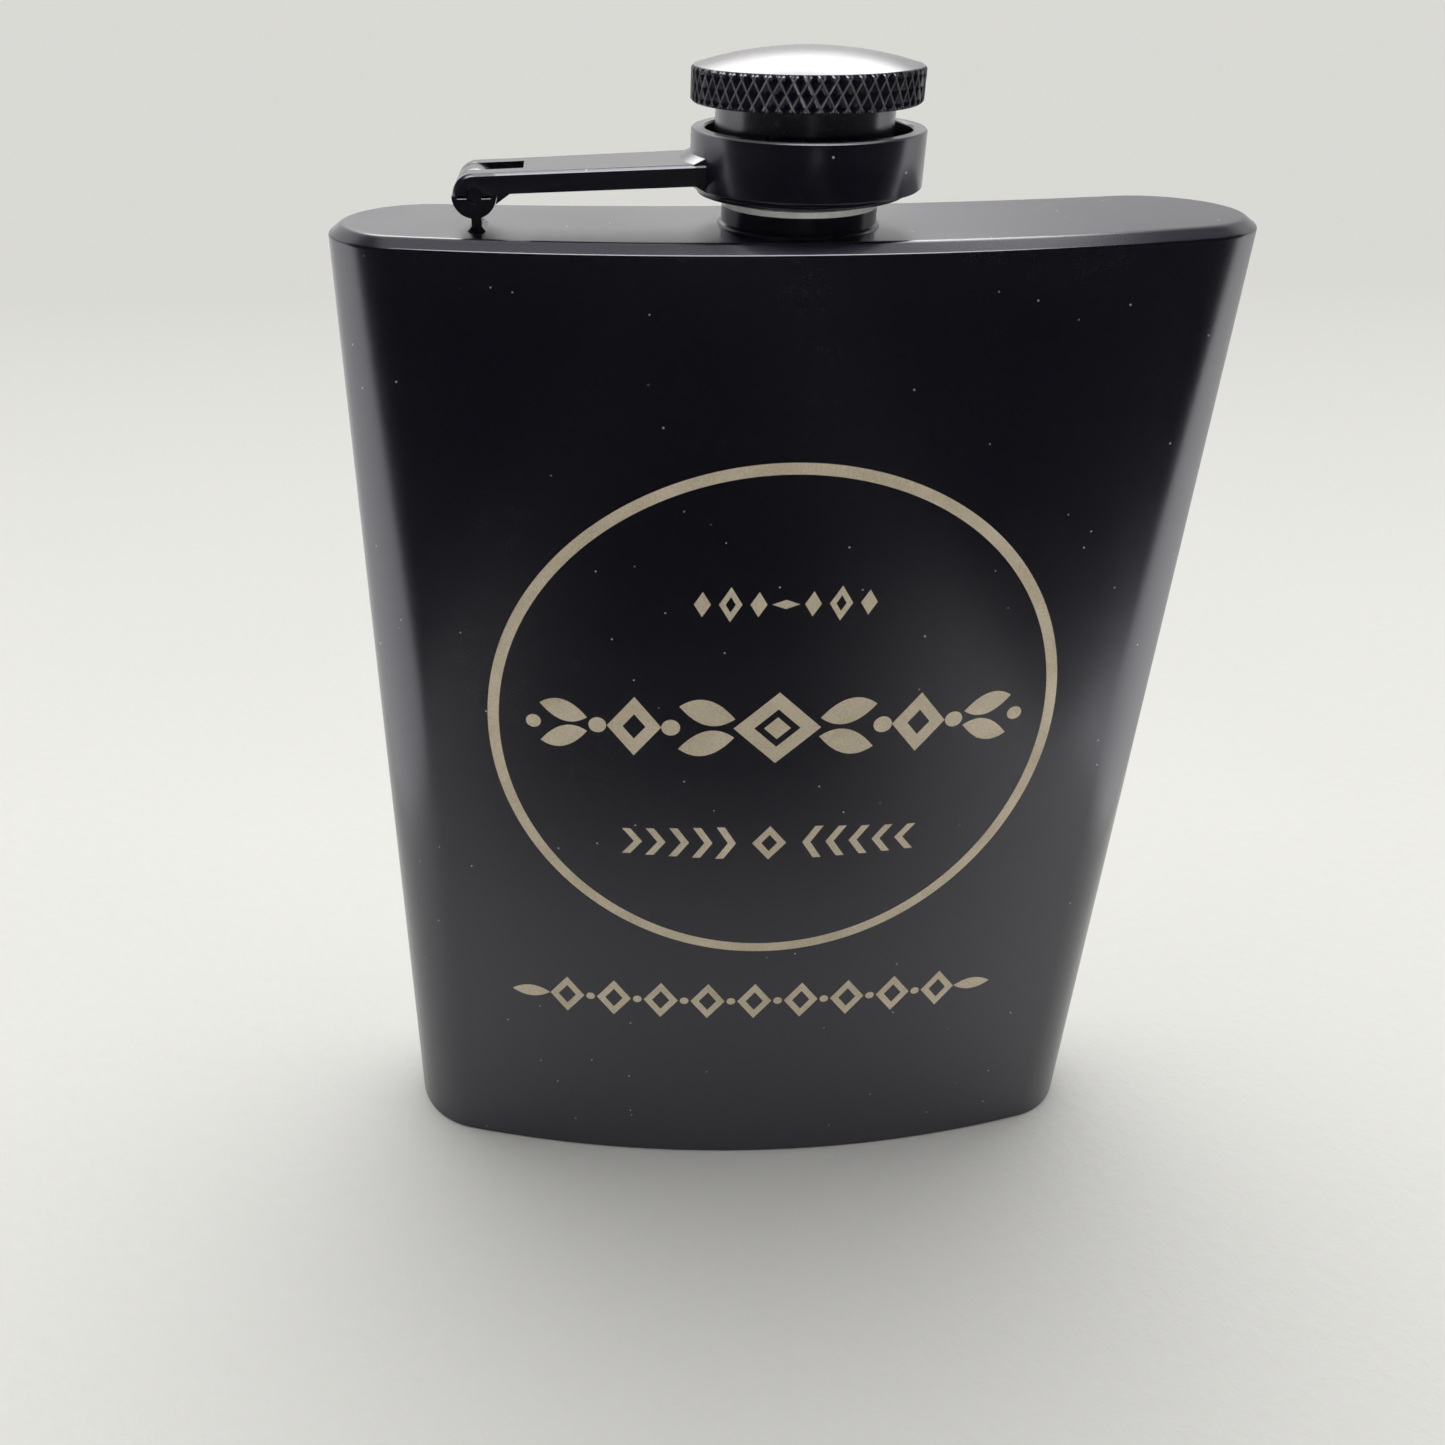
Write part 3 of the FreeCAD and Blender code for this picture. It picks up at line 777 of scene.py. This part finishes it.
# ---- carried-over nodes: rounded edges and materials ----

def soften(node, width):
    """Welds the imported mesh, joins its flat faces and rounds its sharp edges, all in modifiers."""
    piece = frame["nodes"][node]
    weld = piece.modifiers.new("weld", "WELD")
    weld.merge_threshold = 1e-6
    flat = piece.modifiers.new("flat", "DECIMATE")
    flat.decimate_type = "DISSOLVE"
    flat.angle_limit = math.radians(0.5)
    bevel = piece.modifiers.new("bevel", "BEVEL")
    bevel.width = width * MM
    bevel.segments = 3
    bevel.limit_method = "ANGLE"
    bevel.angle_limit = math.radians(30)
    bevel.harden_normals = False


def finish_node(node, material):
    for slot in frame["nodes"][node].material_slots:
        slot.link = "OBJECT"
        slot.material = material


FINISHES = {
    "body_wrap": body_coat,
    "shoulder_plate": body_coat,
    "shoulder_weld": body_coat,
    "base_plate": body_coat,
    "base_weld": weld_coat,
    "wrap_seam_weld": body_coat,
    "neck_tube": neck_coat,
    "neck_weld": weld_coat,
    "hinge_post": arm_coat,
    "hinge_post_weld": weld_coat,
    "captive_arm": arm_coat,
    "hinge_keeper_front": arm_coat,
    "hinge_keeper_rear": arm_coat,
    "hinge_pin": arm_coat,
    "cap_head": cap_coat,
    "cap_sleeve": cap_coat,
    "cap_retaining_flange": cap_coat,
    "cap_gasket": gasket_rubber,
}
# how wide the rounded edges of the small steel pieces are
EDGE_WIDTHS = {
    "captive_arm": 0.13,
    "hinge_keeper_front": 0.06,
    "hinge_keeper_rear": 0.06,
    "hinge_pin": 0.08,
    "hinge_post": 0.10,
}
for node, material in FINISHES.items():
    finish_node(node, material)
for node, width in EDGE_WIDTHS.items():
    soften(node, width)

body_wrap()
shoulder_bead()
shoulder_top()
ornament()
cap_head()
cap_flange()


# ---- floor, light and camera ----

FLOOR_COLOUR = (0.80, 0.80, 0.775)
FLOOR_REACH = 6.0       # metres
FLOOR_STEPS = 8
FLOOR_DROP = 1e-5       # metres below the flask's foot


def stage_material(name, colour):
    """Matt pale cloth, with painted shade that makes it a little darker towards the back of the floor."""
    nodes = Nodes(name)
    cloth = nodes.noise(2.2, 3.0, 0.6)
    broad = nodes.noise(90, 2.0, 0.5)
    tone = nodes.maths("ADD", nodes.maths("MULTIPLY", cloth, 0.4), nodes.maths("MULTIPLY", broad, 0.6))
    pale = nodes.mix(nodes.spread(tone, 0, 1), tuple(c * 0.97 for c in colour) + (1,), tuple(colour) + (1,))
    split = nodes.add("ShaderNodeSeparateXYZ")
    nodes.link(nodes.where, split.inputs[0])
    # painted shade: the floor darkens towards the back
    far_painted_shade = nodes.spread(split.outputs["Y"], 0.0, 1.0, 0.06, 0.45)
    nodes.set("Base Color", nodes.mix(far_painted_shade, pale, tuple(c * 0.80 for c in colour) + (1,)))
    nodes.set("Roughness", 0.8)
    nodes.set("Specular IOR Level", 0.0)
    nodes.set("Normal", nodes.bump(cloth, 0.08))
    return nodes.material


def floor():
    mesh = bpy.data.meshes.new("floor")
    row = FLOOR_STEPS + 1
    marks = [-FLOOR_REACH + 2 * FLOOR_REACH * i / FLOOR_STEPS for i in range(row)]
    points = [(x, y, -FLOOR_DROP) for y in marks for x in marks]
    faces = []
    for j in range(FLOOR_STEPS):
        for i in range(FLOOR_STEPS):
            corner = j * row + i
            faces.append((corner, corner + 1, corner + row + 1, corner + row))
    mesh.from_pydata(points, [], faces)
    mesh.materials.append(stage_material("floor_cloth", FLOOR_COLOUR))
    place("floor", mesh)


def card(name, corners, strength_from, strength_to, fade, sides=None):
    """A studio card that only shows in reflections. It glows, and a flag is black instead.
    fade is (axis, from, to) in mm for its strength.
    sides is (middle x, full, gone): half widths in mm between which the card dies away."""
    mesh = bpy.data.meshes.new(name)
    mesh.from_pydata([tuple(c * MM for c in p) for p in corners], [], [(0, 1, 2, 3)])
    material = bpy.data.materials.new(name)
    material.use_nodes = True
    material.node_tree.nodes.clear()
    tree = Tree(material.node_tree)
    split = tree.add("ShaderNodeSeparateXYZ")
    tree.link(tree.add("ShaderNodeTexCoord").outputs["Object"], split.inputs[0])
    axis, low, high = fade
    amount = tree.ramp(split.outputs[axis], low * MM, high * MM, strength_from, strength_to)
    if sides:
        middle, full, gone = sides
        reach = tree.maths("ABSOLUTE", tree.maths("SUBTRACT", split.outputs["X"], middle * MM))
        amount = tree.maths("MULTIPLY", amount, tree.ramp(reach, full * MM, gone * MM, 1.0, 0.0))
    out = tree.add("ShaderNodeOutputMaterial")
    glow = tree.add("ShaderNodeEmission")
    if name.startswith("flag"):
        glow.inputs["Strength"].default_value = 0.0
        blend = tree.add("ShaderNodeMixShader")
        tree.link(amount, blend.inputs["Fac"])
        tree.link(tree.add("ShaderNodeBsdfTransparent").outputs[0], blend.inputs[1])
        tree.link(glow.outputs[0], blend.inputs[2])
        tree.link(blend.outputs[0], out.inputs["Surface"])
    else:
        tree.link(amount, glow.inputs["Strength"])
        tree.link(glow.outputs[0], out.inputs["Surface"])
    mesh.materials.append(material)
    piece = place(name, mesh)
    piece.visible_camera = False
    piece.visible_diffuse = False
    piece.visible_shadow = False
    piece.visible_transmission = False
    piece.visible_volume_scatter = False


CARD_X = 112            # the side cards and flags stand this far out
CARD_TOP = 260          # and this high
CARD_BACK = 400         # the side cards reach this far back
CARD_EDGE = (-72, 84)   # where card and flag meet, on the floor and at the top
FLAG_FRONT = -1500      # all flags reach this far to the front
FLAG_HALF = 900         # half the width of the flags on the floor


def side_corners(x, end_y):
    """A side card from the slanting edge to end_y."""
    return [(x, CARD_EDGE[0], 0), (x, end_y, 0), (x, end_y, CARD_TOP), (x, CARD_EDGE[1], CARD_TOP)]


def floor_corners(near_y, z):
    """A flag lying just above the floor, in front of the flask."""
    front = [(-FLAG_HALF, FLAG_FRONT, z), (FLAG_HALF, FLAG_FRONT, z)]
    return front + [(FLAG_HALF, near_y, z), (-FLAG_HALF, near_y, z)]


def cards():
    card("flag_far", floor_corners(-60, 1.5), 0.90, 0.0, ("Y", -190, -85))
    card("flag_near", floor_corners(-15, 1.6), 0.88, 0.0, ("Y", -105, -20), (-15, 30, 135))
    card("flag_left", side_corners(-CARD_X, FLAG_FRONT), 0.90, 0.90, ("Y", 0, 1))
    card("flag_right", side_corners(CARD_X, FLAG_FRONT), 0.90, 0.90, ("Y", 0, 1))
    card("card_left", side_corners(-CARD_X, CARD_BACK), 1.6, 0.95, ("Y", -10, 70))
    card("card_right", side_corners(CARD_X, CARD_BACK), 1.75, 0.72, ("Y", -25, 60))


LIGHT_COLOUR = (1.0, 0.995, 0.98, 1)
WALL_COLOUR = (0.86, 0.865, 0.85, 1)


def world():
    """Light by direction: pale and bright behind and above, dark in front. Reflections, soft light and the
    plain backdrop each have a strength of their own."""
    made = bpy.data.worlds.new("studio")
    made.use_nodes = True
    made.node_tree.nodes.clear()
    tree = Tree(made.node_tree)
    add, link, ramp, maths = tree.add, tree.link, tree.ramp, tree.maths
    split = add("ShaderNodeSeparateXYZ")
    link(add("ShaderNodeTexCoord").outputs["Generated"], split.inputs[0])
    x, y, z = split.outputs
    path = add("ShaderNodeLightPath")

    # what the coat mirrors: pale behind, a bright patch high up behind, a pale right, a lamp above in front
    behind = ramp(y, -0.55, 0.15, 0.02, 0.80)
    patch = maths("MULTIPLY", ramp(z, 0.28, 0.50, 0.0, 1.0), ramp(y, 0.15, 0.70, 0.0, 1.0))
    high_left = maths("MULTIPLY", ramp(z, 0.58, 0.72, 0.0, 1.0), ramp(x, 0.10, 0.32, 0.9, 0.0))
    patch_kept = maths("MULTIPLY", patch, maths("SUBTRACT", 1.0, high_left))
    high_right = maths("MULTIPLY", ramp(x, 0.20, 0.48, 0.0, 1.1), ramp(z, 0.55, 0.75, 0.0, 1.0))
    lamp = maths("MULTIPLY", ramp(y, -0.66, -0.50, 0.0, 9.0), ramp(y, -0.26, -0.12, 1.0, 0.0))
    lamp_above = maths("MULTIPLY", lamp, ramp(z, 0.70, 0.84, 0.0, 1.0))
    behind_and_right = maths("ADD", behind, high_right)
    glossy = maths("ADD", maths("ADD", behind_and_right, lamp_above), maths("MULTIPLY", patch_kept, 6.0))

    # the soft light that falls on the floor and the engraving
    side = ramp(maths("ABSOLUTE", x), 0.55, 0.95, 0.0, 0.7)
    level_light = maths("MAXIMUM", behind, side)
    above = maths("MULTIPLY", ramp(z, 0.22, 0.64, 0.0, 1.0), ramp(y, -0.45, 0.35, 0.0, 1.0))
    soft = maths("ADD", maths("MULTIPLY", level_light, 0.70), maths("MULTIPLY", above, 1.68))

    strength = add("ShaderNodeMix", data_type="FLOAT")
    link(path.outputs["Is Glossy Ray"], strength.inputs[0])
    link(soft, strength.inputs[2])
    link(glossy, strength.inputs[3])
    light = add("ShaderNodeBackground")
    light.inputs["Color"].default_value = LIGHT_COLOUR
    link(strength.outputs[0], light.inputs["Strength"])
    seen = add("ShaderNodeBackground")
    seen.inputs["Color"].default_value = WALL_COLOUR
    pick = add("ShaderNodeMixShader")
    link(path.outputs["Is Camera Ray"], pick.inputs["Fac"])
    link(light.outputs[0], pick.inputs[1])
    link(seen.outputs[0], pick.inputs[2])
    out = add("ShaderNodeOutputWorld")
    link(pick.outputs[0], out.inputs["Surface"])
    made.cycles.sampling_method = "NONE"
    bpy.context.scene.world = made


CAMERA_AT = Vector((-23.58, -128.79, 148.48))
CAMERA_YAW = 0.0148         # radians, to the right
CAMERA_PITCH = 0.4682       # down
CAMERA_ROLL = -0.0094


def camera():
    flat = math.cos(CAMERA_PITCH)
    forward = Vector((math.sin(CAMERA_YAW) * flat, math.cos(CAMERA_YAW) * flat, -math.sin(CAMERA_PITCH)))
    right = Vector((math.cos(CAMERA_YAW), -math.sin(CAMERA_YAW), 0))
    up = right.cross(forward)
    right_rolled = math.cos(CAMERA_ROLL) * right + math.sin(CAMERA_ROLL) * up
    up_rolled = -math.sin(CAMERA_ROLL) * right + math.cos(CAMERA_ROLL) * up
    data = bpy.data.cameras.new("camera")
    data.sensor_width = 36
    data.lens = 31.63
    data.shift_x = 0.0957
    data.shift_y = -0.1042
    data.clip_start = 0.005
    data.clip_end = 50
    eye = place("camera", data)
    turn = Matrix((right_rolled, up_rolled, -forward)).transposed()
    eye.matrix_world = Matrix.Translation(CAMERA_AT * MM) @ turn.to_4x4()
    bpy.context.scene.camera = eye


floor()
cards()
world()
camera()

scene = bpy.context.scene
scene.view_settings.view_transform = "Standard"
scene.view_settings.look = "None"
